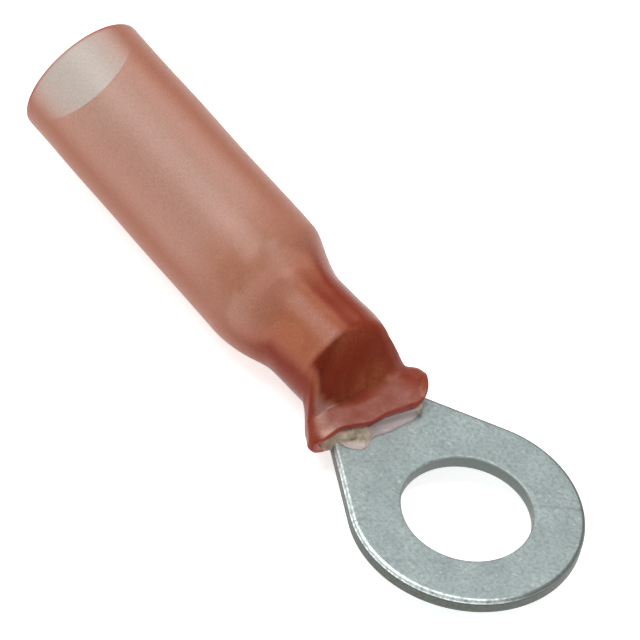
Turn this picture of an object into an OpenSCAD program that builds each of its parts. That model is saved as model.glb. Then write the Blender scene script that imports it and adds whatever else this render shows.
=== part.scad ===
// Ring terminal with a heat-shrink sleeve, in millimetres.
// Origin at the centre of the stud hole on the underside of the tongue.
// Z is up along the stud, the front of the ring points to +X and the wire comes in from -X.

/* [Ring tongue] */
// Diameter of the stud hole
stud_hole_d = 6.5; // [5:0.1:7]
// Outside diameter of the ring
ring_od = 11.65; // [11:0.05:13]
// Thickness of the tinned sheet
sheet_t = 0.8; // [0.6:0.05:1]
// Radius of the rolled-over upper edge left by the stamping
edge_r = 0.22; // [0.1:0.02:0.28]
// Width of the neck where the converging sides end
neck_w = 4.2; // [3.6:0.1:4.8]

/* [Wire barrel] */
// Bore of the barrel
bore_d = 2.6; // [2:0.1:2.8]
// Length of the barrel
barrel_l = 4.8; // [4.4:0.1:6]
// Distance from the stud hole's centre to the front of the barrel
barrel_front = 9.65; // [9.4:0.05:11]
// Length over which the flat neck curls up into the barrel
curl_l = 1.5; // [1:0.1:1.6]
// Open gap of the butt seam along the top
seam_w = 0.12; // [0.08:0.02:0.2]
// Width of the bevel on each outer edge of the seam
seam_bevel = 0.2; // [0.1:0.02:0.3]

/* [Heat-shrink sleeve] */
// Outside diameter at the open wire end
mouth_d = 6.95; // [6.6:0.05:7.4]
// Outside diameter just behind the shoulder
shoulder_d = 7.1; // [6.9:0.05:7.6]
// Wall of the sleeve where it is still wide
wide_wall = 0.42; // [0.3:0.02:0.6]
// Wall of the sleeve where it has shrunk and thickened
shrunk_wall = 0.46; // [0.4:0.02:0.54]
// Distance from the stud hole's centre to the wire end of the sleeve
sleeve_back = 30.5; // [26:0.1:34]
// Upward lean of the wide part
sleeve_lean = 5.16; // [3:0.1:6]
// Length of the shoulder between the barrel and the wide part
shoulder_l = 3.4; // [3:0.1:4]
// How far one side of the shoulder starts behind the other
shoulder_skew = 0.56; // [0.3:0.02:0.7]
// Width of the flattened flare over the tongue
flare_w = 7.4; // [7.2:0.1:8.2]
// Distance from the stud hole's centre to the lip of the sleeve
lip_at = 6.5; // [6.4:0.05:6.8]
// Depth of the waves in the lip
lip_wave = 0.24; // [0.05:0.01:0.3]

/* [Adhesive lining] */
// Thickness of the lining around the barrel
lining_t = 0.2; // [0.18:0.02:0.3]
// Height of the lining over the flat tongue
pad_t = 0.4; // [0.3:0.02:0.5]
// Reach of the squeezed-out film past the lip
film_reach = 1.1; // [0.7:0.05:1.2]
// Thickness of the squeezed-out film
film_t = 0.12; // [0.08:0.01:0.2]
// Height of the bead along the lip
bead_h = 0.42; // [0.3:0.02:0.5]

/* [Hidden] */
$fn = 64;
eps = 0.01;

ring_r = ring_od / 2;
bore_r = bore_d / 2;
barrel_r = bore_r + sheet_t;
mid_r = bore_r + sheet_t / 2;
barrel_back = barrel_front + barrel_l;
curl_front = barrel_front - curl_l;
neck_h = neck_w / 2;
burr_r = 0.05;
// The converging sides are tangent to the ring and end at the neck's width where the curl starts
side_angle = asin(ring_r / norm([curl_front, neck_h])) - atan(neck_h / curl_front);

// Sleeve round the barrel: it hangs a little low, and its shoulder lies just ahead of the barrel's back rim
neck_or = barrel_r + lining_t + shrunk_wall;
neck_sag = 0.06;
neck_z = barrel_r - neck_sag;
shoulder_ahead = 0.24;
sh_mid = barrel_back - shoulder_ahead;
sh_a = sh_mid - shoulder_l / 2;
sh_b = sh_mid + shoulder_l / 2;
// The lean's low side is turned this far round from the right, and fades over skew_reach either way
skew_turn = 36;
skew_reach = 2.2;
// Height of the wide part's leaning centreline, carried on to the stud hole
wide_drop = 1.18;
wide_z0 = barrel_r - wide_drop;

// Sleeve over the tongue: flat heights, how far behind the lip the roof, the floor and the sides leave the
// flat shape, and how far before the barrel they are round
under_t = 0.1;
flat_top = sheet_t + pad_t + shrunk_wall;
flat_low = -under_t - shrunk_wall;
roof_delay = 1.55;
floor_delay = 1.1;
side_delay = 0.65;
tent_a = lip_at + roof_delay;
roof_lead = 0.05;
tent_b = barrel_front - roof_lead;
low_a = lip_at + floor_delay;
flare_a = lip_at + side_delay;
side_lead = 0.45;
flare_b = barrel_front - side_lead;
// Squareness of the flat cross-section outside and inside, 2 being an ellipse
flat_power = 3.2;
flat_inner_power = 5;
// The inside turns round this much later than the roof
inner_late = 0.6;
around = 48;

// Lip: slant across, how far each corner is drawn back, and its waves as [place across, width, height]
lip_lead = 0.33;
lip_mid = lip_at + lip_lead;
lip_slant = 0.6;
lip_right = 1.65;
lip_left = 0.45;
lip_waves = [[-0.5, 0.2, 1], [-0.15, 0.18, -1], [0.66, 0.15, -1]];
low_lead = 0.6;
low_right = 0.65;
low_left = 0.05;
low_sway = 0.25;
lip_fade = 2.2;

function smooth(a, b, s) = let (t = min(1, max(0, (s - a) / (b - a)))) t * t * (3 - 2 * t);
function mix(a, b, t) = a * (1 - t) + b * t;
function bump(t, c, w) = exp(-pow((t - c) / w, 2));
function swell(v, n) = sign(v) * pow(abs(v), 2 / n);

function sum(v, i = 0) = i < len(v) ? v[i] + sum(v, i + 1) : 0;

// Waves of the lip across the width, k from -1 at the left to 1 at the right
function lip_top(k) = lip_at - lip_slant * k + (k > 0 ? lip_right : lip_left) * pow(abs(k), 6)
    + lip_wave * sum([for (w = lip_waves) w[2] * bump(k, w[0], w[1])]);
function lip_low(k) = lip_at + low_lead + (k > 0 ? low_right : low_left) * pow(abs(k), 4)
    - low_sway * k * (1 - abs(k));
function lip_shift(a, k) = let (u = (1 + swell(sin(a), 3)) / 2) mix(lip_low(k), lip_top(k), u) - lip_mid;

// One point of the sleeve's skin: s is the distance back from the stud hole, a the angle around,
// w how far the point lies inside the outer face
function skin_pt(s, a, w) = let (
    wide = smooth(sh_a, sh_b, s),
    tent = smooth(tent_a, tent_b, s),
    low = smooth(low_a, tent_b, s),
    fl = smooth(flare_a, flare_b, s),
    taper = (smooth(sh_b, sleeve_back, s) + (s - sh_b) / (sleeve_back - sh_b)) / 2,
    wide_r = mix(shoulder_d, mouth_d, taper) / 2,
    top = mix(flat_top, neck_z + neck_or, tent),
    foot = mix(flat_low, neck_z - neck_or, low),
    zc = mix((top + foot) / 2, wide_z0 + s * tan(sleeve_lean), wide),
    hz = mix((top - foot) / 2, wide_r, wide) - w,
    hy = mix(mix(flare_w / 2, neck_or, fl), wide_r, wide) - w,
    n = w > 0 ? mix(flat_inner_power, 2, smooth(tent_a, tent_b + inner_late, s)) : mix(flat_power, 2, tent),
    k = swell(cos(a), n),
    dz = hz * swell(sin(a), n),
    skew = shoulder_skew * bump(s, sh_mid, skew_reach) * cos(a - skew_turn),
    lip = (1 - smooth(lip_mid, lip_mid + lip_fade, s)) * lip_shift(a, k))
    [-(s + skew + lip - tan(sleeve_lean) * dz * wide), hy * k, zc + dz];

// Wall of the sleeve, thicker where it has shrunk
wall_late = 1;
function wall_at(s) = mix(shrunk_wall, wide_wall, smooth(sh_a, sh_b + wall_late, s));

// Stations along the sleeve, close together where the shape changes
front_n = 14;
mid_n = 4;
back_n = 12;
wide_n = 5;
settled = sh_b + 0.6;
stations = concat(
    [for (i = [0 : front_n]) mix(lip_mid, tent_b, i / front_n)],
    [for (i = [1 : mid_n]) mix(tent_b, sh_a, i / mid_n)],
    [for (i = [1 : back_n]) mix(sh_a, settled, i / back_n)],
    [for (i = [1 : wide_n]) mix(settled, sleeve_back, i / wide_n)]);
// The lining ends inside the shoulder, this many stations from the lip
lining_n = front_n + mid_n + 8;

function ring_of(s, w) = [for (j = [0 : around - 1]) skin_pt(s, 360 * j / around, w)];
function flat_of(rows) = [for (r = rows) for (p = r) p];
// Two triangles for each four neighbouring points of the rows from r0 to r1, split the other way where turned
function mesh_rows(r0, r1, m, turned = false) = [for (i = [r0 : r1 - 1]) for (j = [0 : m - 1])
    let (q = (j + 1) % m, a = i * m + j, b = i * m + q, c = (i + 1) * m + q, d = (i + 1) * m + j)
    for (f = turned ? [[a, b, d], [b, c, d]] : [[a, b, c], [a, c, d]]) f];

module sleeve_skin() {
    rows = concat(
        [for (s = stations) ring_of(s, 0)],
        [for (i = [len(stations) - 1 : -1 : 0]) ring_of(stations[i], wall_at(stations[i]))]);
    n = len(rows);
    // The inner face is split as the lining's outer one is, so the two meet exactly
    faces = concat(mesh_rows(0, n / 2, around), mesh_rows(n / 2, n - 1, around, true),
        [for (j = [0 : around - 1]) let (q = (j + 1) % around, b = (n - 1) * around)
            for (f = [[b + j, b + q, q], [b + j, q, j]]) f]);
    polyhedron(points = flat_of(rows), faces = faces, convexity = 8);
}

// Two triangles for each step across a ring of m points starting at b, which closes its end
function cap_round(b, m, flip) = [for (j = [0 : m / 2 - 1]) for (f = [[j, j + 1, m - j - 1],
    [j, m - j - 1, (m - j) % m]]) if (f[0] != f[2] && f[1] != f[2]) flip_face(f, b, flip)];
// The same for a ring that runs out along one face of a sheet and back along the other
function cap_sheet(b, m, flip) = [for (j = [0 : m / 2 - 2]) for (f = [[j, j + 1, m - j - 2],
    [j, m - j - 2, m - j - 1]]) flip_face(f, b, flip)];
function flip_face(f, b, flip) = flip ? [b + f[2], b + f[1], b + f[0]] : [b + f[0], b + f[1], b + f[2]];

// Squeezed-out adhesive in front of the lip: how its edge bows and ripples, its two beads as [place, width],
// and where on its way from the lip to its edge the film and the beads have come down to the film's thickness
film_bow = 1.05;
film_centre = -0.12;
ripple_h = 0.06;
ripple_rate = 500;
beads = [[-0.62, 0.3], [0.7, 0.2]];
film_half = neck_h * 1.38;
film_power = 6;
film_start = 0.06;
film_down = 0.22;
bead_down = 0.6;
film_narrow = 0.4;
film_sink = 0.92;
edge_thin = 0.85;
// t runs from 0 at the lip to 1 at the edge of the film, k from -1 at the left to 1 at the right
function film_edge(k) = lip_at - film_reach + film_bow * pow(k - film_centre, 2)
    + ripple_h * cos(ripple_rate * k);
function film_top(t, k) = let (
    bead = max([for (b = beads) bump(k, b[0], b[1])]),
    drop = smooth(film_start, mix(film_down, bead_down, bead), t),
    full = mix(pad_t * film_sink, bead_h, bead))
    sheet_t + mix(full, film_t, drop) * (1 - edge_thin * pow(t, 5));
function film_pt(t, a) = let (
    k = swell(cos(a), film_power),
    hy = mix(flare_w / 2 - shrunk_wall, film_half, smooth(0, film_narrow, t)),
    s = mix(lip_mid + lip_shift(a, k), film_edge(k), t),
    middle = sheet_t / 2,
    half = sin(a) > 0 ? film_top(t, k) - middle : middle / 2)
    [-s, hy * k, middle + half * swell(sin(a), film_power)];
function film_ring(t) = [for (j = [0 : around - 1]) film_pt(t, 360 * j / around)];
function plug_ring(s, r) = [for (j = [0 : around - 1]) let (a = 360 * j / around)
    [-s, r * cos(a), barrel_r + r * sin(a)]];
film_steps = [1, 0.88, 0.72, 0.58, 0.45, 0.34, 0.24, 0.14, film_start];

// Layer between the sleeve and the metal, before the metal is taken out of it.
// Behind, it slopes in over the barrel's rim and ends under it
rim_over = 0.3;
rim_reach = 0.45;
rim_under = 0.55;
module lining_body() {
    rows = concat(
        [for (t = film_steps) film_ring(t)],
        [for (i = [0 : lining_n]) ring_of(stations[i], wall_at(stations[i]))],
        [plug_ring(barrel_back + rim_over, barrel_r + rim_reach)],
        [plug_ring(barrel_back - rim_under, mid_r)]);
    n = len(rows);
    faces = concat(mesh_rows(0, n - 1, around), cap_round(0, around, true),
        cap_round((n - 1) * around, around, false));
    polyhedron(points = flat_of(rows), faces = faces, convexity = 6);
}

// Air left under the sleeve between the barrel's mouth and the tongue, a little wider than the bore.
// Its roof slopes down to the tongue
pocket_wider = 0.3;
pocket_r = bore_r + pocket_wider;
pocket_past = 0.1;
pocket_end = pocket_past - curl_front;
module pocket() {
    intersection() {
        along_x(-barrel_front - eps, pocket_r, curl_l + pocket_past * 3);
        rotate([90, 0, 0])
            linear_extrude(barrel_r * 2, center = true)
                polygon([[-barrel_back, 0], [-barrel_back, barrel_r + bore_r],
                    [-barrel_front, barrel_r + bore_r], [pocket_end, sheet_t], [pocket_end, 0]]);
    }
}

module along_x(x, r, l) {
    translate([x, 0, barrel_r])
        rotate([0, 90, 0])
            cylinder(r = r, h = l);
}

// Outline of the tongue, drawn in by d: the ring's arc, its tangent sides and the straight end at the neck
arc_n = 60;
function neck_half(d) = (ring_r - d - curl_front * sin(side_angle)) / cos(side_angle);
function tongue_outline(d) = concat(
    [for (i = [0 : arc_n]) let (a = (90 + side_angle) * (2 * i / arc_n - 1))
        [(ring_r - d) * cos(a), (ring_r - d) * sin(a)]],
    [[-curl_front, neck_half(d)], [-curl_front, -neck_half(d)]]);

// Stamped blank of the tongue: rolled over along its upper edge, slightly broken along the lower one
module tongue() {
    m = arc_n + 3;
    steps = 5;
    levels = concat(
        [for (k = [steps : -1 : 0]) let (a = 90 * k / steps)
            [sheet_t - edge_r * (1 - sin(a)), edge_r * (1 - cos(a))]],
        [[burr_r, 0], [0, burr_r]]);
    points = [for (v = levels) for (p = tongue_outline(v[1])) [p[0], p[1], v[0]]];
    faces = concat([[for (j = [m - 1 : -1 : 0]) j]], mesh_rows(0, len(levels) - 1, m),
        [[for (j = [0 : m - 1]) (len(levels) - 1) * m + j]]);
    difference() {
        polyhedron(points = points, faces = faces, convexity = 4);
        translate([0, 0, -1])
            cylinder(d = stud_hole_d, h = sheet_t + 2);
    }
}

// The flat neck curling up into the barrel, with the sheet's thickness kept all the way
curl_n = 10;
curl_m = 22;
// How far round the curl has closed, each way from the bottom, where the barrel starts
curl_turn = 130;
// The curl is this much thinner all round than what it runs into, so its ends sink in cleanly,
// and it runs on into both by these shares of its length
sunk = 0.012;
curl_root = 0.1;
curl_tip = 0.08;
// It is never quite flat, so that its radius stays finite
least_turn = 0.05;
// t from 0 to 1 along the neck, u from -1 to 1 across the sheet, r the offset from its middle
function curl_arc(t, u, r) = let (
    g = max(least_turn, curl_turn * smooth(0, 1, t)),
    bend = mix(neck_h - sunk, mid_r, smooth(0, 1, t)) / sin(min(g, 90)))
    [-(curl_front + curl_l * t), sin(g * u) * (bend - r), sheet_t / 2 + bend - cos(g * u) * (bend - r)];
module neck_curl() {
    m = 2 * (curl_m + 1);
    half_t = sheet_t / 2 - sunk;
    steps = concat([-curl_root], [for (i = [0 : curl_n]) i / curl_n], [1 + curl_tip]);
    rows = [for (t = steps) concat(
        [for (j = [0 : curl_m]) curl_arc(t, 2 * j / curl_m - 1, -half_t)],
        [for (j = [curl_m : -1 : 0]) curl_arc(t, 2 * j / curl_m - 1, half_t)])];
    n = len(rows);
    faces = concat(mesh_rows(0, n - 1, m), cap_sheet(0, m, true), cap_sheet((n - 1) * m, m, false));
    polyhedron(points = flat_of(rows), faces = faces, convexity = 6);
}

// Rolled tube with its butt seam on top, bevelled where the two edges meet
module barrel() {
    top = barrel_r * 2;
    half = seam_w / 2;
    difference() {
        along_x(-barrel_back, barrel_r, barrel_l);
        along_x(-barrel_back - 1, bore_r, barrel_l + 2);
        translate([-barrel_back - 1, 0, 0])
            rotate([90, 0, 90])
                linear_extrude(barrel_l + 2)
                    polygon([[-half, barrel_r], [half, barrel_r], [half, top - seam_bevel],
                        [half + seam_bevel * 2, top + seam_bevel], [-half - seam_bevel * 2, top + seam_bevel],
                        [-half, top - seam_bevel]]);
    }
}

// Stamped and rolled from one blank
module ring_terminal() {
    color("silver")
        union() {
            tongue();
            neck_curl();
            barrel();
        }
}

module shrink_sleeve() {
    color("salmon")
        sleeve_skin();
}

module adhesive_lining() {
    color("sandybrown")
        difference() {
            lining_body();
            tongue();
            neck_curl();
            along_x(-barrel_back, barrel_r, barrel_l);
            pocket();
        }
}

ring_terminal();
shrink_sleeve();
adhesive_lining();
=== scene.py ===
# Ring terminal of tinned sheet copper in a translucent heat-shrink sleeve, with its hot-melt adhesive.
# Sizes below are in millimetres and turn into metres where a mesh is made.
import math
import bmesh
import bpy
import numpy as np
from mathutils import Matrix, Vector, noise


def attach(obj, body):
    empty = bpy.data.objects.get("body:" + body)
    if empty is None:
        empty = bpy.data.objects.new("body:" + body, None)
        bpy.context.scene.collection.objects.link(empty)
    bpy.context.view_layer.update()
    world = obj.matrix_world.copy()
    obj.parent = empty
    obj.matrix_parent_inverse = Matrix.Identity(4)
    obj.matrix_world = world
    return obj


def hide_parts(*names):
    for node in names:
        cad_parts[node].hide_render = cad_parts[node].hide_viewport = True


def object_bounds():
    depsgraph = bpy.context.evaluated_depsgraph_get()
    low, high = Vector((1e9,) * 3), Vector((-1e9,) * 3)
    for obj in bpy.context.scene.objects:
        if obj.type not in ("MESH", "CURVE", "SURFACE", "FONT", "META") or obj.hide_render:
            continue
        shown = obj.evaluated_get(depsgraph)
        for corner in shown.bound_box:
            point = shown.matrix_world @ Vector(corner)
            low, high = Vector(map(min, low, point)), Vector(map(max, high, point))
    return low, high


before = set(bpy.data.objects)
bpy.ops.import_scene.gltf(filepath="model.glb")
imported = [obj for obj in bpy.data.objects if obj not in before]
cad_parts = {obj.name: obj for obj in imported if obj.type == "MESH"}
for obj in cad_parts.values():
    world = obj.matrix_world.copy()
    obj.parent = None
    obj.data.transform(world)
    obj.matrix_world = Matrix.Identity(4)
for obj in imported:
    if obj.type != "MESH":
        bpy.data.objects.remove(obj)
cadLow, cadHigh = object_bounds()
mm = 0.001
white = (1, 1, 1, 1)
print("frame loaded:", sorted(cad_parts))


def smooth(a, b, s):
    t = np.clip((np.asarray(s, float) - a) / (b - a), 0, 1)
    return t * t * (3 - 2 * t)


def band(s, rise, fall):  # 0, then up to 1 and back to 0
    return smooth(*rise, s) * (1 - smooth(*fall, s))


def mix(a, b, t):
    return a * (1 - t) + b * t


def hump(t, centre, width):
    return np.exp(-(((t - centre) / width) ** 2))


def waves(t, humps):  # each hump is (height, centre, width)
    return sum(height * hump(t, centre, width) for height, centre, width in humps)


def swell(v, n):  # squares a circle's sine or cosine
    return np.sign(v) * np.abs(v) ** (2 / n)


def softNoise(points, height, size, seed):  # smooth noise up to that height, with lumps of about that size
    shift = Vector((seed * 7.3, seed * 3.1, seed * 5.7))
    flat = points.reshape(-1, 3) / size
    return height * np.array([noise.noise(Vector(p) + shift) for p in flat]).reshape(points.shape[:-1])


def addRow(points, row):  # adds a row to a mesh's points and gives back their numbers
    start = len(points)
    points.extend(tuple(p) for p in row)
    return list(range(start, len(points)))


def joinRows(a, b, closed=True):  # quads between two rows of point numbers
    n = len(a)
    return [(a[j], a[(j + 1) % n], b[(j + 1) % n], b[j]) for j in range(n if closed else n - 1)]


def gridFaces(rows, cols, closed=False):
    numbers = np.arange(rows * cols).reshape(rows, cols).tolist()
    return [quad for a, b in zip(numbers, numbers[1:]) for quad in joinRows(a, b, closed)]


def gridNormals(grid):  # for a grid whose last column meets the first
    across = np.roll(grid, -1, 1) - np.roll(grid, 1, 1)
    n = np.cross(across, np.gradient(grid, axis=0))
    return n / np.maximum(np.linalg.norm(n, axis=2, keepdims=True), 1e-9)


def finishMesh(mesh, masks):  # masks are values from 0 to 1 at the points, which the materials read by name
    for maskName, values in masks.items():
        layer = mesh.attributes.new(maskName, "FLOAT", "POINT")
        layer.data.foreach_set("value", np.asarray(values, np.float32))
    mesh.polygons.foreach_set("use_smooth", [True] * len(mesh.polygons))


def makePiece(name, points, faces, node, masks):
    mesh = bpy.data.meshes.new(name)
    mesh.from_pydata((np.asarray(points, float) * mm).tolist(), [], faces)
    outward = bmesh.new()
    outward.from_mesh(mesh)
    bmesh.ops.recalc_face_normals(outward, faces=outward.faces)
    print(name, "volume in cubic mm:", round(outward.calc_volume(signed=True) / mm ** 3, 2),
        "open edges:", sum(not edge.is_manifold for edge in outward.edges))
    outward.to_mesh(mesh)
    outward.free()
    finishMesh(mesh, masks)
    piece = bpy.data.objects.new(name, mesh)
    bpy.context.scene.collection.objects.link(piece)
    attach(piece, "root")
    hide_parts(node)
    return piece


# Node helpers shared by the materials
def newGroup(name, inputs, outputs):
    group = bpy.data.node_groups.new(name, "ShaderNodeTree")
    for socketName, value in inputs:
        socket = group.interface.new_socket(socketName, in_out="INPUT", socket_type="NodeSocketFloat")
        socket.default_value = value
    for socketName in outputs:
        group.interface.new_socket(socketName, in_out="OUTPUT", socket_type="NodeSocketFloat")
    source, sink = group.nodes.new("NodeGroupInput"), group.nodes.new("NodeGroupOutput")
    return group, source, sink


def feed(tree, socket, value):  # links another node's output, or sets a plain value
    if isinstance(value, bpy.types.NodeSocket):
        tree.links.new(value, socket)
    else:
        socket.default_value = value


def addNode(tree, kind, inputs=None, **settings):
    node = tree.nodes.new("ShaderNode" + kind)
    for key, value in settings.items():
        setattr(node, key, value)
    for key, value in (inputs or {}).items():
        feed(tree, node.inputs[key], value)
    return node


def addMath(tree, operation, a, b, clamp=False):
    return addNode(tree, "Math", {0: a, 1: b}, operation=operation, use_clamp=clamp).outputs[0]


def addMix(tree, factor, a, b):
    return addNode(tree, "Mix", {0: factor, 6: a, 7: b}, data_type="RGBA").outputs[2]


def addRange(tree, value, toMin, toMax, span=(0.0, 1.0), kind="LINEAR"):
    inputs = {"Value": value, "From Min": span[0], "From Max": span[1], "To Min": toMin, "To Max": toMax}
    return addNode(tree, "MapRange", inputs, interpolation_type=kind).outputs[0]


def addBump(tree, height, strength, depth):
    return addNode(tree, "Bump", {"Height": height, "Strength": strength, "Distance": depth * mm}).outputs[0]


def dimBy(tree, value, mask, amount):  # the value, less that share of it where the mask is 1
    left = addMath(tree, "SUBTRACT", 1.0, addMath(tree, "MULTIPLY", mask, amount))
    return addMath(tree, "MULTIPLY", value, left)


def readMask(tree, name):
    return addNode(tree, "Attribute", attribute_name=name).outputs["Fac"]


def useGroup(tree, group, values):  # the group's one output, with its inputs set in their own order
    node = tree.nodes.new("ShaderNodeGroup")
    node.node_tree = group
    for socket, value in zip(node.inputs, values):
        socket.default_value = value
    return node.outputs[0]


def newMaterial(name):
    material = bpy.data.materials.new(name)
    material.use_nodes = True
    tree = material.node_tree
    tree.nodes.clear()
    return material, tree, addNode(tree, "OutputMaterial")


def showThrough(tree, output, tint, opacity, body):  # front faces tint and cover, back faces do neither
    back = addNode(tree, "NewGeometry").outputs["Backfacing"]
    shown = addMath(tree, "MULTIPLY", opacity, addMath(tree, "SUBTRACT", 1.0, back), clamp=True)
    clear = addNode(tree, "BsdfTransparent", {"Color": addMix(tree, back, tint, white)})
    both = addNode(tree, "MixShader", {0: shown, 1: clear.outputs[0], 2: body.outputs[0]})
    tree.links.new(both.outputs[0], output.inputs["Surface"])


# Effects that the materials share
effects = {
    "grainDetail": 4.0, "grainRoughness": 0.6, "scratchStretch": (60.0, 1100.0, 300.0),
    "scratchDetail": 1.5, "scratchBend": 0.3, "scratchSpan": (0.66, 0.73),
}


def buildFineGrain(e):  # soft small-scale unevenness: a value round 0.5
    group, source, sink = newGroup("fineGrain", [("Size", 0.3), ("Contrast", 1.0), ("Seed", 0.0)], ["Value"])
    place = addNode(group, "TexCoord").outputs["Object"]
    scale = addMath(group, "DIVIDE", 1 / mm, source.outputs["Size"])
    texture = addNode(group, "TexNoise", {"Vector": place, "W": source.outputs["Seed"], "Scale": scale,
        "Detail": e["grainDetail"], "Roughness": e["grainRoughness"]}, noise_dimensions="4D")
    centred = addMath(group, "SUBTRACT", texture.outputs["Fac"], 0.5)
    spread = addMath(group, "MULTIPLY", centred, source.outputs["Contrast"])
    group.links.new(addMath(group, "ADD", spread, 0.5, clamp=True), sink.inputs["Value"])
    return group


def buildScratches(e):  # thin lines at one slant, broken up by a slow noise
    group, source, sink = newGroup(
        "scratches", [("Size", 2.0), ("Amount", 0.5), ("Slant", 0.4), ("Seed", 0.0)], ["Mask"])
    place = addNode(group, "TexCoord").outputs["Object"]
    turned = addNode(group, "VectorRotate", {"Vector": place, "Angle": source.outputs["Slant"]},
        rotation_type="Z_AXIS").outputs[0]
    stretched = addNode(group, "VectorMath", {0: turned, 1: e["scratchStretch"]},
        operation="MULTIPLY").outputs[0]
    shrink = addMath(group, "DIVIDE", 1.0, source.outputs["Size"])
    scaled = addNode(group, "VectorMath", {0: stretched, "Scale": shrink}, operation="SCALE").outputs[0]
    lines = addNode(group, "TexNoise", {"Vector": scaled, "W": source.outputs["Seed"], "Scale": 1.0,
        "Detail": e["scratchDetail"], "Distortion": e["scratchBend"]}, noise_dimensions="4D").outputs["Fac"]
    edge = addRange(group, lines, 0.0, 1.0, span=e["scratchSpan"])
    group.links.new(addMath(group, "MULTIPLY", edge, source.outputs["Amount"]), sink.inputs["Mask"])
    return group


fineGrain = buildFineGrain(effects)
scratches = buildScratches(effects)

# Ring terminal: one stamped sheet, flat round the stud hole and rolled into a barrel behind
terminal = {
    "holeR": 3.25, "ringR": 5.825, "sheetT": 0.8, "edgeR": 0.22, "holeEdgeR": 0.1, "burrR": 0.05,
    "neckHalf": 2.1, "curlFront": 8.15, "curlLength": 1.5, "curlAngle": 130.0,
    "midR": 1.7, "barrelFront": 9.65, "barrelBack": 14.45, "rimR": 0.08,
    "seamAngle": 179.0, "closing": 0.05,  # the curl closes to the seam over this length
    "seamDip": 0.26, "seamDipWidth": 0.55, "seamDipTurn": (120, 175),  # the edges roll in over these angles
    # Rows and steps of the mesh, as counts, shares of a length, or degrees round a broken edge
    "acrossCount": 56, "arcCount": 128, "sideCount": 24, "edgeCount": 7, "burrCount": 4, "curlRows": 21,
    "barrelRows": 25, "wallSteps": (0.12, 0.4, 0.7), "faceSteps": (0.12, 0.28, 0.46, 0.64, 0.8, 0.92, 1.0),
    "closingSteps": (0.4, 1.0), "holeTopAngles": (22, 45, 68, 90), "holeLowAngles": (0, 30, 60),
    "rimAngles": (30, 60, 90),
    # Where the edges are drawn darker or take the rolled look, as shares of their radius down from the upper
    # face
    "darkWallFrom": 0.8, "holeDarkFrom": 0.9, "rolledFrom": 0.02,
    "holeClear": 0.5,  # the rolled look keeps this far from the hole
    "near": 0.01,  # a point nearer than this counts as on a line or an outline
    "litSpan": (0.1, 0.75), "holeWallDark": 0.8, "rollShade": 0.7,  # the rolled edge gets a painted highlight on its right side and painted shade elsewhere on it
    "tin": (0.24, 0.285, 0.28, 1), "tinLight": (0.33, 0.385, 0.378, 1), "tinDark": (0.16, 0.18, 0.175, 1),
    # the bright tin colour serves random flecks and the painted highlight on the rolled edge
    "brightTinAndHighlight": (0.74, 0.82, 0.81, 1), "scratch": (0.13, 0.125, 0.12, 1),
    # the dark wall colour also serves as painted shade on the rolled edge; the edge line colour paints a dark
    # reflection
    "wallAndShadeColour": (0.07, 0.073, 0.058, 1), "paintedDarkLine": (0.035, 0.04, 0.035, 1),
    # Grain is size, contrast, seed; scratches are size, amount, slant, seed
    "cloud": (1.6, 2.2, 1.0), "speckle": (0.2, 3.2, 4.0), "flecks": (0.3, 1.0, 9.0),
    "longScratches": (3.0, 0.8, 0.9, 2.0), "fineScratches": (0.9, 0.35, 2.2, 7.0),
    "dullFrom": 0.35, "dullAmount": 0.7, "fleckSpan": (0.60, 0.70), "fleckAmount": 0.25,
    "darkWallSpeckle": 0.5, "rollHighlightAmount": 1.1, "darkLineAmount": 0.8,
    "metallic": 0.85, "roughness": (0.44, 0.58), "rolledPolish": 0.15,
    "bumpSpeckle": 0.5, "bumpCloud": 0.8, "bumpStrength": 0.5, "bumpDepth": 0.03,
}


def edgeProfile(t):  # (inset, height) pairs over the sheet's edge, from the upper face to the lower one
    over = [(t["edgeR"] * (1 - math.sin(a)), t["sheetT"] - t["edgeR"] * (1 - math.cos(a)))
        for a in np.radians(np.linspace(0, 90, t["edgeCount"]))]
    under = [(t["burrR"] * (1 - math.cos(a)), t["burrR"] * (1 - math.sin(a)))
        for a in np.radians(np.linspace(0, 90, t["burrCount"]))]
    middle = [(0, mix(over[-1][1], under[0][1], f)) for f in t["wallSteps"]]
    return over + middle + under


def tongueOutline(t, d):  # d in from the edge: neck's right corner, round the front, left corner
    reach = math.hypot(t["curlFront"], t["neckHalf"])
    sideAngle = math.asin(t["ringR"] / reach) - math.atan(t["neckHalf"] / t["curlFront"])
    turn = math.pi / 2 + sideAngle
    r = t["ringR"] - d
    neckHalf = (r - t["curlFront"] * math.sin(sideAngle)) / math.cos(sideAngle)
    arc = [(r * math.cos(a), r * math.sin(a)) for a in np.linspace(-turn, turn, t["arcCount"] + 1)]
    tangent, corner = np.array(arc[-1]), np.array([-t["curlFront"], neckHalf])
    left = [tuple(mix(tangent, corner, f)) for f in np.linspace(0, 1, t["sideCount"] + 1)[1:]]
    right = [(x, -y) for x, y in reversed(left)]
    return np.array(right + arc + left)


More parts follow.
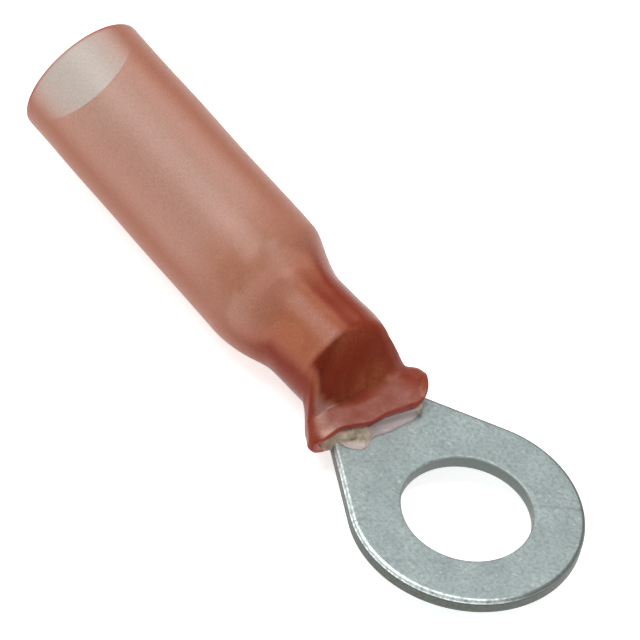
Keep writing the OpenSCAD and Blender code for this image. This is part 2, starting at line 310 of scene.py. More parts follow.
def buildTongue(t, points, faces):  # the flat part; gives back the loop of points across the neck
    insets, heights = np.array(edgeProfile(t)).T
    chain = [tongueOutline(t, d) for d in insets]
    edgeRows = [addRow(points, np.c_[line, np.full(len(line), z)]) for line, z in zip(chain, heights)]
    for a, b in zip(edgeRows, edgeRows[1:]):
        faces.extend(joinRows(a, b, closed=False))
    u = np.linspace(-1, 1, t["acrossCount"] + 1)[1:-1]

    def acrossRow(k):  # straight across the neck, between the outline's own corners
        y = u * abs(chain[k][0][1])
        return addRow(points, np.c_[np.full(len(u), -t["curlFront"]), y, np.full(len(u), heights[k])])

    topAcross, lowAcross = acrossRow(0), acrossRow(-1)

    def fillFace(loop, z, flip):  # rings from the outline in to the hole, each point sliding to its rim
        outer = np.array([points[i][:2] for i in loop])
        angle = np.arctan2(outer[:, 1], outer[:, 0])
        rim = np.c_[np.cos(angle), np.sin(angle)] * (t["holeR"] + t["holeEdgeR"])
        rows = [loop]
        for f in t["faceSteps"]:
            rows.append(addRow(points, np.c_[mix(outer, rim, f), np.full(len(loop), z)]))
        for a, b in zip(rows, rows[1:]):
            faces.extend(quad[::-1] if flip else quad for quad in joinRows(a, b))
        return rows[-1], angle

    previous, angle = fillFace(edgeRows[0] + topAcross[::-1], t["sheetT"], False)
    lowRim, _ = fillFace(edgeRows[-1] + lowAcross[::-1], 0.0, True)
    # Wall of the hole, with both edges broken
    h = t["holeEdgeR"]
    wall = [(t["holeR"] + h * (1 - math.sin(a)), t["sheetT"] - h * (1 - math.cos(a)))
        for a in np.radians(t["holeTopAngles"])]
    wall += [(t["holeR"] + h * (1 - math.cos(a)), h * (1 - math.sin(a)))
        for a in np.radians(t["holeLowAngles"])]
    for r, z in wall:
        row = addRow(points, np.c_[np.cos(angle) * r, np.sin(angle) * r, np.full(len(angle), z)])
        faces.extend(joinRows(previous, row))
        previous = row
    faces.extend(joinRows(previous, lowRim))
    corner = [row[0] for row in edgeRows[::-1]] + topAcross
    return corner + [row[-1] for row in edgeRows] + lowAcross[::-1]


def sheetLoop(t, s, g, bend, shrink):  # section of the rolled sheet, s back, wrapped g degrees to each side
    profile = edgeProfile(t)
    zTop, zLow = profile[0][1] - shrink, profile[-1][1] + shrink
    half = math.radians(g) * bend
    u = np.linspace(-1, 1, t["acrossCount"] + 1)[1:-1]
    edge = [(1 - d / half, min(max(z, zLow), zTop)) for d, z in profile]
    topV, lowV = edge[0][0], edge[-1][0]
    section = [(-v, z) for v, z in edge[::-1]] + [(v * topV, zTop) for v in u]  # right edge up, then across
    section += edge + [(v * lowV, zLow) for v in u[::-1]]  # left edge down, then back across

    def rolled(v, z):  # v from -1 to 1 across the sheet, z up through it
        fromEdge = (1 - abs(v)) * math.radians(g) * bend
        lobe = t["seamDip"] * smooth(*t["seamDipTurn"], g) * hump(fromEdge, 0, t["seamDipWidth"])
        r = bend + (t["sheetT"] / 2 - z) - lobe
        turn = math.radians(g * v)
        return (-s, math.sin(turn) * r, t["sheetT"] / 2 + bend - math.cos(turn) * r)

    return [rolled(v, z) for v, z in section]


def barrelStations(t):  # (place back, half the wrap angle, bending radius, how far the rim is broken)
    stations = []
    for f in np.linspace(0, 1, t["curlRows"] + 1)[1:]:
        eased = float(smooth(0, 1, f))
        g = t["curlAngle"] * eased
        bend = mix(t["neckHalf"], t["midR"], eased) / math.sin(math.radians(min(g, 90)))
        stations.append((t["curlFront"] + t["curlLength"] * f, g, bend, 0.0))
    for f in t["closingSteps"]:
        g = mix(t["curlAngle"], t["seamAngle"], f)
        stations.append((t["barrelFront"] + t["closing"] * f, g, t["midR"], 0.0))
    straight = (t["barrelFront"] + t["closing"], t["barrelBack"] - t["rimR"])
    for s in np.linspace(*straight, t["barrelRows"] + 1)[1:]:
        stations.append((s, t["seamAngle"], t["midR"], 0.0))
    for a in np.radians(t["rimAngles"]):
        s = t["barrelBack"] - t["rimR"] * (1 - math.sin(a))
        stations.append((s, t["seamAngle"], t["midR"], t["rimR"] * (1 - math.cos(a))))
    return stations


def rollBarrel(t, points, faces, neck):  # the sheet curls up behind the neck and closes into the barrel
    previous = neck
    for station in barrelStations(t):
        row = addRow(points, sheetLoop(t, *station))
        faces.extend(joinRows(previous, row))
        previous = row
    # Back rim: strips straight across the sheet's thickness, and one face over each edge
    k, m = len(edgeProfile(t)), t["acrossCount"]
    top = previous[k - 1:k + m]
    low = previous[:1] + previous[2 * k + m - 2:][::-1]
    faces.extend(joinRows(top, low, closed=False))
    faces.append(tuple(previous[:k][::-1]))
    faces.append(tuple(previous[k + m - 1:2 * k + m - 1][::-1]))


def buildTerminal(t):
    points, faces = [], []
    neck = buildTongue(t, points, faces)
    rollBarrel(t, points, faces, neck)
    return np.array(points), faces


def terminalMasks(t, points):
    x, y, z = points.T
    away = np.hypot(x, y)
    tongue = x > -t["curlFront"]
    below = z < t["sheetT"] - t["darkWallFrom"] * t["edgeR"]
    outside = (away > t["ringR"] - t["near"]) & tongue
    holeLow = z < t["sheetT"] - t["holeDarkFrom"] * t["holeEdgeR"]
    holeWall = (away < t["holeR"] + 2 * t["near"]) & holeLow
    fromTop = z < t["sheetT"] - t["rolledFrom"] * t["edgeR"]
    onRoll = fromTop & ~below & (away > t["holeR"] + t["holeClear"]) & tongue
    # points where the rolled edge meets the wall, which get a painted dark reflection line
    darkReflectionLine = outside & (np.abs(z - t["sheetT"] + t["edgeR"]) < t["near"])
    # painted highlight and painted shade on the rolled edge, set by side and not by the lamps
    lit = smooth(*t["litSpan"], -y / away)
    # darker side walls and hole wall, and painted shade on the rolled edge away from its lit side
    shaded = t["holeWallDark"] * holeWall + t["rollShade"] * onRoll * (1 - lit)
    darkWallsAndShade = np.where(outside & below, 1.0, shaded)
    return {"darkWallsAndShade": darkWallsAndShade, "line": darkReflectionLine.astype(float), "rolled": onRoll * lit}


def tinMaterial(t):
    material, tree, output = newMaterial("matteTin")
    darkWallsAndShade, rolled, line = (readMask(tree, name) for name in ("darkWallsAndShade", "rolled", "line"))
    cloud, speckle, flecks = (useGroup(tree, fineGrain, t[name]) for name in ("cloud", "speckle", "flecks"))
    marks, fine = (useGroup(tree, scratches, t[name]) for name in ("longScratches", "fineScratches"))
    colour = addMix(tree, cloud, t["tin"], t["tinLight"])
    dull = addMath(tree, "SUBTRACT", speckle, t["dullFrom"], clamp=True)
    colour = addMix(tree, addMath(tree, "MULTIPLY", dull, t["dullAmount"]), colour, t["tinDark"])
    shine = addRange(tree, flecks, 0.0, t["fleckAmount"], span=t["fleckSpan"])
    colour = addMix(tree, shine, colour, t["brightTinAndHighlight"])
    colour = addMix(tree, addMath(tree, "MAXIMUM", marks, fine), colour, t["scratch"])
    # darker colour on the side walls and the hole wall, which is also the painted shade on the rolled edge
    edgeSpeckle = addMath(tree, "MULTIPLY", speckle, t["darkWallSpeckle"])
    colour = addMix(tree, darkWallsAndShade, colour, addMix(tree, edgeSpeckle, t["wallAndShadeColour"], t["tinDark"]))
    # painted highlight along the rolled edge's right side, broken by the speckle
    rollHighlightMix = addMath(tree, "SUBTRACT", t["rollHighlightAmount"], speckle, clamp=True)
    colour = addMix(tree, addMath(tree, "MULTIPLY", rolled, rollHighlightMix), colour, t["brightTinAndHighlight"])
    # painted dark reflection line where the rolled edge meets the wall
    colour = addMix(tree, addMath(tree, "MULTIPLY", line, t["darkLineAmount"]), colour, t["paintedDarkLine"])
    roughness = addRange(tree, speckle, *t["roughness"])
    roughness = addMath(tree, "SUBTRACT", roughness, addMath(tree, "MULTIPLY", rolled, t["rolledPolish"]))
    height = addMath(tree, "ADD", addMath(tree, "MULTIPLY", speckle, t["bumpSpeckle"]),
        addMath(tree, "MULTIPLY", cloud, t["bumpCloud"]))
    shader = addNode(tree, "BsdfPrincipled", {"Base Color": colour, "Metallic": t["metallic"],
        "Roughness": roughness, "Normal": addBump(tree, height, t["bumpStrength"], t["bumpDepth"])})
    tree.links.new(shader.outputs[0], output.inputs["Surface"])
    return material


ringPoints, ringFaces = buildTerminal(terminal)
ring = makePiece("stampedTerminal", ringPoints, ringFaces, "ring_terminal",
    terminalMasks(terminal, ringPoints))
ring.data.materials.append(tinMaterial(terminal))
print("ring terminal built:", len(ringFaces), "faces")

# Heat-shrink sleeve: wide and round at the wire end, shrunk tight round the barrel, flat over the tongue.
# Places back are measured from the stud hole towards the wire.
sleeve = {
    "barrelR": terminal["midR"] + terminal["sheetT"] / 2, "sheetT": terminal["sheetT"],
    "barrelFront": terminal["barrelFront"], "barrelBack": terminal["barrelBack"],
    "liningT": 0.2, "padT": 0.4, "underT": 0.1,
    "wideWall": 0.42, "shrunkWall": 0.46, "wallTail": 1.0, "edgeR": 0.1, "edgeAngles": (30, 60, 90),
    # Wide part and shoulder
    "mouthD": 6.95, "shoulderD": 7.1, "back": 30.5, "lean": math.radians(5.16),
    "wideDrop": 1.18, "neckDrop": 0.06, "shoulderLength": 3.4, "shoulderAhead": 0.24, "shoulderTail": 0.6,
    "shrunkLead": 0.4, "shoulderSkew": 0.56, "skewLength": 2.2, "skewWay": (0.81, 0.587),
    # Flare over the tongue; squareness is a superellipse's power, and 2 is round
    "flareWidth": 7.4, "flareFrom": 0.65, "flareEnd": 0.45, "pointLength": 2.3, "pointPower": 0.85,
    "tentFrom": 1.55, "tentEnd": 0.05, "footFrom": 1.1,
    "outerSquare": 4.6, "innerSquare": 5.0, "innerTail": 0.6,
    "earSquare": 2.0, "earSquareSpan": (0.8, 1.9),  # added on the right side only, this far behind the lip
    "earPinch": 0.5, "rightPinch": 0.3, "earSpan": (0.6, 2.6), "earPower": 5,
    "rightDents": ((0.2, 9.1, 0.7), (-0.1, 7.4, 0.5)),  # off the half width: depth, place back, length
    "leftDents": ((-0.12, 8.6, 0.7), (-0.15, 7.1, 0.4)),
    "seamDents": ((0.08, 0.12, 0.2), (-0.03, -0.3, 0.25), (-0.03, 0.5, 0.2)),  # depth, place across, width
    "seamDentsFrom": (9.3, 9.9), "seamDentsTo": (13.2, 14.8),
    # Lip: upper and lower line against lipAt, drawn back at each corner by (length, power), with waves
    "lipAt": 6.5, "lipMiddle": 0.33, "lipReach": 2.2, "lipSquare": 3,
    "topAhead": 0.17, "topSlant": 0.42, "topRight": (1.55, 4.6), "topLeft": (0.3, 6),
    "lipWave": 0.24, "lipWaves": ((0.9, -0.66, 0.17), (-0.7, -0.25, 0.15), (-0.9, 0.58, 0.22)),
    "lowBehind": 0.6, "lowSlant": 0.25, "lowRight": (0.65, 4), "lowLeft": (0.05, 4),
    # Unevenness is height, size, seed
    "uneven": (0.05, 4.5, 1), "shrunkUneven": (0.03, 1.3, 2),
    "bigWaver": (0.3, 0.8, 5), "smallWaver": (0.15, 0.3, 6),
    "around": 144, "frontRows": 70, "neckRows": 44, "shoulderRows": 44, "wideRows": 64,
    # Where each look lies, painted shade behind the shoulder and in the hollow among them: spans back from
    # the stud hole, or out from the middle
    "lipRim": (0.1, 0.2, 0.3, 0.8, 1, 1), "mouthRim": 0.5,
    "bendFrom": (14.2, 15.0), "bendTo": (15.6, 19.5),
    "hazeEnd": 7.55, "hazeBow": 0.14, "hazeFade": (-0.25, 0.3),
    "hollowEnd": (9.5, 9.95), "hollowWaver": 0.1, "hollowSide": (2.3, 2.7), "hollowFloor": 1.2,
    "coreBack": (8.75, 0.75), "coreAcross": (0.5, 1.5), "thickSide": (0.8, 0.97), "thickTo": (9.0, 10.5),
    # Tint is what the wall lets through, glow is its own colour and light the paler of its patches; behind
    # the shoulder and in the hollow the glow and light are painted shade
    "wideTint": (0.10, 0.27, 0.265, 1), "wideInnerTint": (0.97, 0.66, 0.52, 1),
    "shrunkTint": (0.96, 0.66, 0.51, 1), "shrunkInnerTint": (0.82, 0.52, 0.42, 1),
    "wideGlow": (0.63, 0.305, 0.232, 1), "wideEdge": (0.30, 0.12, 0.078, 1),
    "shrunkGlow": (0.52, 0.165, 0.08, 1), "shrunkEdge": (0.175, 0.026, 0.012, 1),
    "innerGlow": (0.21, 0.135, 0.115, 1), "rimColour": (0.36, 0.045, 0.04, 1),
    # behind the barrel's back rim: painted shade, paler in patches
    "shoulderGlow": (0.31, 0.112, 0.060, 1), "shoulderLight": (0.34, 0.126, 0.070, 1),
    "hazeGlow": (0.25, 0.078, 0.054, 1), "hazeLight": (0.36, 0.17, 0.135, 1),
    # the hollow: painted shade, with a paler painted patch at its core
    "hollowShadeGlow": (0.10, 0.010, 0.003, 1), "hollowShadeLight": (0.42, 0.13, 0.05, 1),
    "wideOpacity": 0.5, "shrunkOpacity": 0.42, "innerOpacity": 0.76, "edgeOpacity": 0.98, "rimOpacity": 0.92,
    "shoulderOpacity": 0.84, "hazeOpacity": 0.68, "hollowShadeOpacity": 0.88,
    "wideSlant": (0.08, 0.5), "shrunkSlant": (0.02, 0.4),  # a face turned away this far shows its edge colour
    "cloud": (2.5, 1.6, 3.0), "grain": (0.1, 2.4, 8.0), "patches": (0.7, 4.0, 6.0),
    "patchBase": 0.35, "grainSpan": (0.2, 0.8), "grainShade": (0.93, 1.07), "grainOpacity": 0.05,
    "roughness": (0.3, 0.4), "shrunkPolish": 0.1, "gloss": (0.5, 0.05), "hollowShadeDull": 0.85, "innerDull": 0.8,
    "bumpStrength": 0.35, "bumpDepth": 0.02,
}


def drawnBack(k, right, left):  # each corner is (length, power)
    return np.where(k > 0, right[0] * np.abs(k) ** right[1], left[0] * np.abs(k) ** left[1])


def lipTop(p, k):  # k from -1 at the left corner to 1 at the right one
    return (p["lipAt"] - p["topAhead"] - p["topSlant"] * k + drawnBack(k, p["topRight"], p["topLeft"])
        + p["lipWave"] * waves(k, p["lipWaves"]))


def lipLow(p, k):
    corners = drawnBack(k, p["lowRight"], p["lowLeft"])
    return p["lipAt"] + p["lowBehind"] + corners - p["lowSlant"] * k + p["lowSlant"] * np.abs(k) * k


def lipMid(p):
    return p["lipAt"] + p["lipMiddle"]


def lipShift(p, a, k):
    u = (1 + swell(np.sin(a), p["lipSquare"])) / 2
    return mix(lipLow(p, k), lipTop(p, k), u) - lipMid(p)


def shoulderEnds(p):
    middle = p["barrelBack"] - p["shoulderAhead"]
    return middle, middle - p["shoulderLength"] / 2, middle + p["shoulderLength"] / 2


def wallAt(p, s):
    _, shA, shB = shoulderEnds(p)
    return mix(p["shrunkWall"], p["wideWall"], smooth(shA, shB + p["wallTail"], s))


def behindLip(p, span, s):  # 1 at the lip, falling to 0 over the span behind it
    return 1 - smooth(p["lipAt"] + span[0], p["lipAt"] + span[1], s)


def skinPoint(p, s, a, w, inner):  # s back from the stud hole, a round the sleeve, w in from its outer face
    middle, shA, shB = shoulderEnds(p)
    right = np.cos(a) > 0
    neckR = p["barrelR"] + p["liningT"] + p["shrunkWall"]
    neckZ = p["barrelR"] - p["neckDrop"]
    tentA, tentB = p["lipAt"] + p["tentFrom"], p["barrelFront"] - p["tentEnd"]
    wide, tent = smooth(shA, shB, s), smooth(tentA, tentB, s)
    low = smooth(p["lipAt"] + p["footFrom"], tentB, s)
    flare = smooth(p["lipAt"] + p["flareFrom"], p["barrelFront"] - p["flareEnd"], s)
    pointed = 1 - np.clip(1 - (s - lipMid(p)) / p["pointLength"], 0, 1) ** p["pointPower"]
    flare = np.where(right, pointed, flare)
    along = (smooth(shB, p["back"], s) + (s - shB) / (p["back"] - shB)) / 2
    wideR = mix(p["shoulderD"], p["mouthD"], along) / 2
    top = mix(p["sheetT"] + p["padT"] + p["shrunkWall"], neckZ + neckR, tent)
    foot = mix(-p["underT"] - p["shrunkWall"], neckZ - neckR, low)
    zc = mix((top + foot) / 2, p["barrelR"] - p["wideDrop"] + s * math.tan(p["lean"]), wide)
    hz = mix((top - foot) / 2, wideR, wide) - w
    hy = mix(mix(p["flareWidth"] / 2, neckR, flare), wideR, wide) - w
    if inner:
        n = mix(p["innerSquare"], 2.0, smooth(tentA, tentB + p["innerTail"], s))
    else:
        n = mix(p["outerSquare"], 2.0, tent)
    n = n + p["earSquare"] * behindLip(p, p["earSquareSpan"], s) * right
    k, dz = swell(np.cos(a), n), hz * swell(np.sin(a), n)
    ear = behindLip(p, p["earSpan"], s) * np.abs(k) ** p["earPower"]
    dz = dz * (1 - p["earPinch"] * ear * np.where(k > 0, p["rightPinch"], 1))
    hy = hy - np.where(k > 0, waves(s, p["rightDents"]), waves(s, p["leftDents"]))
    skewY, skewZ = p["skewWay"]
    skew = p["shoulderSkew"] * hump(s, middle, p["skewLength"]) * (skewY * np.cos(a) + skewZ * np.sin(a))
    dz = dz - waves(k, p["seamDents"]) * (np.sin(a) > 0) * band(s, p["seamDentsFrom"], p["seamDentsTo"])
    lip = (1 - smooth(lipMid(p), lipMid(p) + p["lipReach"], s)) * lipShift(p, a, k)
    x = -(s + skew + lip - math.tan(p["lean"]) * dz * wide)
    return np.stack([x, hy * k, zc + dz], -1)


def cutEdge(p, outer, inner, at, beside):  # rows round a cut end, from the outer face to the inner one
    step = outer[at] - outer[beside]
    step = p["edgeR"] * step / np.linalg.norm(step, axis=1, keepdims=True)
    through = inner[at] - outer[at]
    through = p["edgeR"] * through / np.linalg.norm(through, axis=1, keepdims=True)
    angles = np.radians(p["edgeAngles"])
    rows = [outer[at] + step * (math.sin(a) - 1) + through * (1 - math.cos(a)) for a in angles]
    return rows + [inner[at] + step * (math.sin(a) - 1) - through * (1 - math.cos(a)) for a in angles[::-1]]


def wallMasks(p, grid, shrunk, edgeCount):  # one value for each row of the grid
    mouth = len(shrunk) - 2
    rim, inner = np.zeros(len(grid)), np.zeros(len(grid))
    rim[mouth:mouth + edgeCount] = p["mouthRim"]
    rim[-edgeCount:] = p["lipRim"]
    inner[mouth + edgeCount // 2:-(edgeCount // 2)] = 1
    mouthRows, lipRows = np.full(edgeCount, shrunk[-1]), np.ones(edgeCount)
    tight = np.concatenate([shrunk[1:-1], mouthRows, shrunk[-2:0:-1], lipRows])
    rows = {"shrunk": tight, "rim": rim, "inner": inner}
    return {name: np.repeat(values, p["around"]) for name, values in rows.items()}


def depthMasks(p, grid):  # what shows through the wall: painted shade round the shoulder's bend, hazy glue, and the hollow's painted shade, paler at its core
    back, side = -grid[..., 0], grid[..., 1]
    wavy = back + softNoise(grid, *p["bigWaver"]) + softNoise(grid, *p["smallWaver"])
    hazeEnd = p["hazeEnd"] + p["hazeBow"] * side ** 2
    pastHaze = smooth(hazeEnd + p["hazeFade"][0], hazeEnd + p["hazeFade"][1], wavy)
    hollow = pastHaze * (1 - smooth(*p["hollowEnd"], back + p["hollowWaver"] * (wavy - back)))
    width = np.abs(side).max(axis=1, keepdims=True)
    masks = {
        "shoulder": band(wavy, p["bendFrom"], p["bendTo"]),
        "haze": 1 - pastHaze,
        "hollowShade": hollow * (1 - smooth(*p["hollowSide"], np.abs(side))) * (grid[..., 2] > p["hollowFloor"]),
        "core": hump(back, *p["coreBack"]) * hump(side, *p["coreAcross"]),
        "thick": smooth(*p["thickSide"], np.abs(side) / width) * (1 - smooth(*p["thickTo"], back)),
    }
    return {name: values.ravel() for name, values in masks.items()}


def buildSleeve(p):
    _, shA, shB = shoulderEnds(p)
    tentB, tail = p["barrelFront"] - p["tentEnd"], shB + p["shoulderTail"]
    parts = [(lipMid(p), tentB, p["frontRows"]), (tentB, shA, p["neckRows"]), (shA, tail, p["shoulderRows"]),
        (tail, p["back"], p["wideRows"])]
    stations = np.concatenate([np.linspace(a, b, n, endpoint=False) for a, b, n in parts] + [[p["back"]]])
    angles = np.linspace(0, 2 * math.pi, p["around"], endpoint=False)
    s, a = np.meshgrid(stations, angles, indexing="ij")
    outer = skinPoint(p, s, a, 0.0, False)
    inner = skinPoint(p, s, a, wallAt(p, s), True)
    normals = gridNormals(outer)
    if np.mean(normals[:, p["around"] // 4, 2]) < 0:
        normals = -normals
    shrunk = 1 - smooth(shA - p["shrunkLead"], shB, s)
    uneven = softNoise(outer, *p["uneven"]) + shrunk * softNoise(outer, *p["shrunkUneven"])
    outer, inner = outer + normals * uneven[..., None], inner + normals * uneven[..., None]
    mouthEdge, lipEdge = cutEdge(p, outer, inner, -1, -2), cutEdge(p, outer, inner, 0, 1)
    grid = np.array([*outer[1:-1], *mouthEdge, *inner[-2:0:-1], *lipEdge[::-1]])
    faces = gridFaces(len(grid), p["around"], closed=True)
    last = (len(grid) - 1) * p["around"]
    faces += joinRows(range(last, last + p["around"]), range(p["around"]))
    masks = wallMasks(p, grid, shrunk[:, 0], len(mouthEdge))
    masks.update(depthMasks(p, grid))
    return grid.reshape(-1, 3), faces, masks


def sleeveMaterial(p):
    material, tree, output = newMaterial("redShrinkPlastic")
    shrunk, rim, inner, hollowShade = (readMask(tree, name) for name in ("shrunk", "rim", "inner", "hollowShade"))
    cloud, grain, patches = (useGroup(tree, fineGrain, p[name]) for name in ("cloud", "grain", "patches"))
    outerTint = addMix(tree, shrunk, p["wideTint"], p["shrunkTint"])
    innerTint = addMix(tree, shrunk, p["wideInnerTint"], p["shrunkInnerTint"])
    tint = addMix(tree, inner, outerTint, innerTint)
    # A slanting look goes through more plastic, and shows it sooner where it has shrunk
    facing = addNode(tree, "LayerWeight", {"Blend": 0.5}).outputs["Facing"]
    wideEdge = addRange(tree, facing, 0.0, 1.0, span=p["wideSlant"], kind="SMOOTHSTEP")
    shrunkEdge = addRange(tree, facing, 0.0, 1.0, span=p["shrunkSlant"], kind="SMOOTHSTEP")
    edge = addMath(tree, "MAXIMUM", addRange(tree, shrunk, wideEdge, shrunkEdge), readMask(tree, "thick"))
    glow = addMix(tree, shrunk, p["wideGlow"], p["shrunkGlow"])
    opacity = addRange(tree, shrunk, p["wideOpacity"], p["shrunkOpacity"])
    # a paler painted patch at the core of the hollow's painted shade
    core = addMath(tree, "ADD", patches, p["patchBase"])
    core = addMath(tree, "MULTIPLY", readMask(tree, "core"), core, clamp=True)
    # the shoulder and the hollow take painted shade; the haze is the glue seen through
    seen = [("shoulder", readMask(tree, "shoulder"), patches), ("haze", readMask(tree, "haze"), patches),
        ("hollowShade", hollowShade, core)]
    for name, mask, light in seen:
        glow = addMix(tree, mask, glow, addMix(tree, light, p[name + "Glow"], p[name + "Light"]))
        opacity = addRange(tree, mask, opacity, p[name + "Opacity"])
    glow = addMix(tree, edge, glow, addMix(tree, shrunk, p["wideEdge"], p["shrunkEdge"]))
    glow = addMix(tree, inner, glow, p["innerGlow"])
    glow = addMix(tree, rim, glow, p["rimColour"])
    shade = addRange(tree, grain, *p["grainShade"], span=p["grainSpan"])
    glow = addNode(tree, "VectorMath", {0: glow, "Scale": shade}, operation="SCALE").outputs[0]
    opacity = addRange(tree, edge, opacity, p["edgeOpacity"])
    opacity = addRange(tree, inner, opacity, p["innerOpacity"])
    speck = addMath(tree, "MULTIPLY", addMath(tree, "SUBTRACT", grain, 0.5), p["grainOpacity"])
    opacity = addMath(tree, "ADD", opacity, speck)
    opacity = addMath(tree, "MAXIMUM", opacity, addMath(tree, "MULTIPLY", rim, p["rimOpacity"]))
    roughness = addRange(tree, cloud, *p["roughness"])
    roughness = addMath(tree, "SUBTRACT", roughness, addMath(tree, "MULTIPLY", shrunk, p["shrunkPolish"]))
    gloss = dimBy(tree, addRange(tree, edge, *p["gloss"]), hollowShade, p["hollowShadeDull"])
    gloss = dimBy(tree, gloss, inner, p["innerDull"])
    body = addNode(tree, "BsdfPrincipled", {"Base Color": glow, "Roughness": roughness,
        "Specular IOR Level": gloss, "Normal": addBump(tree, grain, p["bumpStrength"], p["bumpDepth"])})
    showThrough(tree, output, tint, opacity, body)
    return material


sleevePoints, sleeveFaces, sleeveMasks = buildSleeve(sleeve)
tube = makePiece("shrinkSleeve", sleevePoints, sleeveFaces, "shrink_sleeve", sleeveMasks)
tube.data.materials.append(sleeveMaterial(sleeve))
print("sleeve built:", len(sleeveFaces), "faces")

# Hot-melt adhesive: the lining's own solid, remeshed so that it looks melted, with rough beads along the lip
adhesive = {
    "voxel": 0.07, "smoothing": 6, "softness": 0.5, "halfWidth": 3.0, "sheetT": terminal["sheetT"],
    "lipAt": sleeve["lipAt"], "lipHalf": sleeve["flareWidth"] / 2,
    "frontFade": (0.1, 0.9), "topFade": (0.02, 0.2),
    # The solid's plainer lip, which is moved to the sleeve's wavy one
    "plainSlant": 0.6, "plainRight": (1.65, 6), "plainLeft": (0.45, 6),
    "plainWaves": ((1, -0.5, 0.2), (-1, -0.15, 0.18), (-1, 0.66, 0.15)),
    "movedFrom": (5.6, 6.4), "movedTo": (7.2, 8.6),
    # Lobes of the film's front edge: length, place across, width
    "lobes": ((-0.28, -0.75, 0.28), (0.3, -0.3, 0.2), (0.14, 0.05, 0.2), (-0.3, 0.72, 0.3)),
    "lobesTo": (5.6, 6.5),
    "leftBead": (-0.62, 0.3), "rightBead": (0.74, 0.2), "beadSpan": (0.35, 0.75),
    "cornerFrom": (2.3, 2.7), "cornerTo": (7.8, 8.6), "cornerAmount": 0.8,
    "lumps": (1.0, 0.42, 11), "smallLumps": (0.5, 0.168, 12), "lumpBase": 0.4, "lumpHeight": 0.2,
    "amber": (0.9, 0.76, 0.66, 1), "amberGlow": (0.55, 0.38, 0.3, 1),
    "beadColour": (0.13, 0.10, 0.06, 1), "beadLight": (0.40, 0.34, 0.24, 1),
    "filmTint": (0.93, 0.80, 0.80, 1), "filmGlow": (0.68, 0.57, 0.57, 1),
    "opacity": 0.12, "filmOpacity": 0.35, "beadOpacity": 0.85,
    "lumpGrain": (0.35, 2.4, 5.0), "roughness": (0.16, 0.5), "gloss": (0.2, 0.8),
    "bumpStrength": 0.6, "bumpDepth": 0.06,
}


def meltedLining(p):  # the solid, remeshed and softened
    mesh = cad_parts["adhesive_lining"].data.copy()
    mesh.name = "meltedAdhesive"
    mesh.materials.clear()
    piece = bpy.data.objects.new("meltedAdhesive", mesh)
    bpy.context.scene.collection.objects.link(piece)
    remesh = piece.modifiers.new("melt", "REMESH")
    remesh.mode = "VOXEL"
    remesh.voxel_size = p["voxel"] * mm
    soften = piece.modifiers.new("soften", "SMOOTH")
    soften.iterations = p["smoothing"]
    soften.factor = p["softness"]
    bpy.context.view_layer.update()
    final = bpy.data.meshes.new_from_object(piece.evaluated_get(bpy.context.evaluated_depsgraph_get()))
    piece.modifiers.clear()
    piece.data = final
    return piece


def readPoints(points, name):
    values = np.zeros(len(points) * 3)
    points.foreach_get(name, values)
    return values.reshape(-1, 3)


def buildAdhesive(p):
    piece = meltedLining(p)
    final = piece.data
    place = readPoints(final.vertices, "co") / mm
    normals = readPoints(final.vertices, "normal")
    s = -place[:, 0]
    inFront = behindLip(p, p["frontFade"], s)
    above = smooth(p["sheetT"] + p["topFade"][0], p["sheetT"] + p["topFade"][1], place[:, 2])
    across = place[:, 1] / p["halfWidth"]
    # The film follows the sleeve's wavy lip, and its edge runs in lobes
    k = np.clip(place[:, 1] / p["lipHalf"], -1, 1)
    plainLip = (p["lipAt"] - p["plainSlant"] * k + drawnBack(k, p["plainRight"], p["plainLeft"])
        + sleeve["lipWave"] * waves(k, p["plainWaves"]))
    lobes = waves(across, p["lobes"]) * (1 - smooth(*p["lobesTo"], s))
    place[:, 0] -= (lipTop(sleeve, k) - plainLip) * band(s, p["movedFrom"], p["movedTo"]) + lobes
    here = np.maximum(hump(across, *p["leftBead"]), hump(across, *p["rightBead"]))
    bead = inFront * above * smooth(*p["beadSpan"], here)
    corner = smooth(*p["cornerFrom"], np.abs(place[:, 1])) * (1 - smooth(*p["cornerTo"], s))
    lumps = softNoise(place, *p["lumps"]) + softNoise(place, *p["smallLumps"])
    place += normals * (bead * (p["lumpBase"] + lumps) * p["lumpHeight"])[:, None]
    final.vertices.foreach_set("co", (place * mm).ravel())
    bead = np.maximum(bead, p["cornerAmount"] * corner)
    finishMesh(final, {"bead": bead, "film": inFront * (1 - bead)})
    final.update()
    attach(piece, "root")
    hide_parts("adhesive_lining")
    return piece


def adhesiveMaterial(p):
    material, tree, output = newMaterial("hotMelt")
    bead, film = readMask(tree, "bead"), readMask(tree, "film")
    lump = useGroup(tree, fineGrain, p["lumpGrain"])
    tint = addMix(tree, film, p["amber"], p["filmTint"])
    glow = addMix(tree, film, p["amberGlow"], p["filmGlow"])
    glow = addMix(tree, bead, glow, addMix(tree, lump, p["beadColour"], p["beadLight"]))
    thin = addRange(tree, film, p["opacity"], p["filmOpacity"])
    opacity = addMath(tree, "ADD", addMath(tree, "MULTIPLY", bead, p["beadOpacity"]), thin, clamp=True)
    roughness, gloss = addRange(tree, bead, *p["roughness"]), addRange(tree, film, *p["gloss"])
    body = addNode(tree, "BsdfPrincipled", {"Base Color": glow, "Roughness": roughness,
        "Specular IOR Level": gloss, "Normal": addBump(tree, lump, p["bumpStrength"], p["bumpDepth"])})
    showThrough(tree, output, tint, opacity, body)
    return material


glue = buildAdhesive(adhesive)
glue.data.materials.append(adhesiveMaterial(adhesive))
print("adhesive built:", len(glue.data.polygons), "faces")

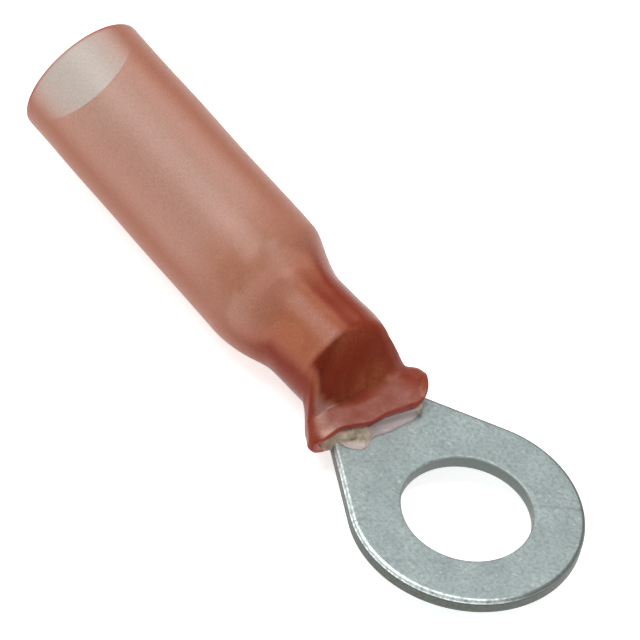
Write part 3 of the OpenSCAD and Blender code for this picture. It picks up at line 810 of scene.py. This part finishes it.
# Studio: pale floor, soft light all round, and the photograph's viewing angle
studio = {
    "eye": (134.396, -177.058, 250.526), "forward": (-0.43312, 0.52468, -0.73289), "roll": -13.782,
    "lens": 389.742, "sensor": 36.0, "clip": (10.0, 10000.0), "worldStrength": 0.62,
    "floorColour": (0.80, 0.80, 0.80, 1), "floorLight": (0.83, 0.83, 0.83, 1), "floorGlow": 0.66,
    "floorSize": 900.0, "floorSteps": 12, "floorDrop": 0.02, "floorCloud": (40.0, 1.0, 0.0),
    "floorRoughness": 0.9, "floorGloss": 0.1, "aim": (-12, 0, 1),
    "lamps": [  # name, place, size, watts
        ("keyLamp", (-130.0, -80.0, 330.0), 240.0, 0.85),
        ("topLamp", (60.0, 90.0, 340.0), 24.0, 0.3),
        ("rearLamp", (-150.0, 190.0, 260.0), 60.0, 0.08),
    ],
}


def buildFloor(p):
    half, steps = p["floorSize"] / 2, p["floorSteps"]
    line = np.linspace(-half, half, steps + 1)
    points = [(x, y, cadLow[2] / mm - p["floorDrop"]) for y in line for x in line]
    mesh = bpy.data.meshes.new("floor")
    mesh.from_pydata((np.array(points) * mm).tolist(), [], gridFaces(steps + 1, steps + 1))
    floor = bpy.data.objects.new("floor", mesh)
    bpy.context.scene.collection.objects.link(floor)
    material, tree, output = newMaterial("palePaper")
    colour = addMix(tree, useGroup(tree, fineGrain, p["floorCloud"]), p["floorColour"], p["floorLight"])
    shader = addNode(tree, "BsdfPrincipled", {"Base Color": colour, "Roughness": p["floorRoughness"],
        "Specular IOR Level": p["floorGloss"], "Emission Color": white, "Emission Strength": p["floorGlow"]})
    tree.links.new(shader.outputs[0], output.inputs["Surface"])
    mesh.materials.append(material)


def buildCamera(p):
    forward = Vector(p["forward"]).normalized()
    levelRight = forward.cross(Vector((0, 0, 1))).normalized()
    levelUp = levelRight.cross(forward)
    roll = math.radians(p["roll"])
    up = levelUp * math.cos(roll) + levelRight * math.sin(roll)
    right = forward.cross(up)
    turn = Matrix((right, up, -forward)).transposed()
    data = bpy.data.cameras.new("camera")
    data.lens, data.sensor_width = p["lens"], p["sensor"]
    data.clip_start, data.clip_end = (distance * mm for distance in p["clip"])
    camera = bpy.data.objects.new("camera", data)
    camera.matrix_world = Matrix.Translation(Vector(p["eye"]) * mm) @ turn.to_4x4()
    bpy.context.scene.collection.objects.link(camera)
    bpy.context.scene.camera = camera


def buildLight(p):
    world = bpy.data.worlds.new("studio")
    bpy.context.scene.world = world
    world.use_nodes = True
    world.node_tree.nodes["Background"].inputs["Color"].default_value = white
    world.node_tree.nodes["Background"].inputs["Strength"].default_value = p["worldStrength"]
    for name, place, size, watts in p["lamps"]:
        data = bpy.data.lights.new(name, "AREA")
        data.shape, data.size, data.energy = "DISK", size * mm, watts
        lamp = bpy.data.objects.new(name, data)
        lamp.location = Vector(place) * mm
        lamp.rotation_euler = (Vector(p["aim"]) * mm - lamp.location).to_track_quat("-Z", "Y").to_euler()
        bpy.context.scene.collection.objects.link(lamp)
    bpy.context.scene.view_settings.view_transform = "Standard"


buildFloor(studio)
buildCamera(studio)
buildLight(studio)
print("scene ready")
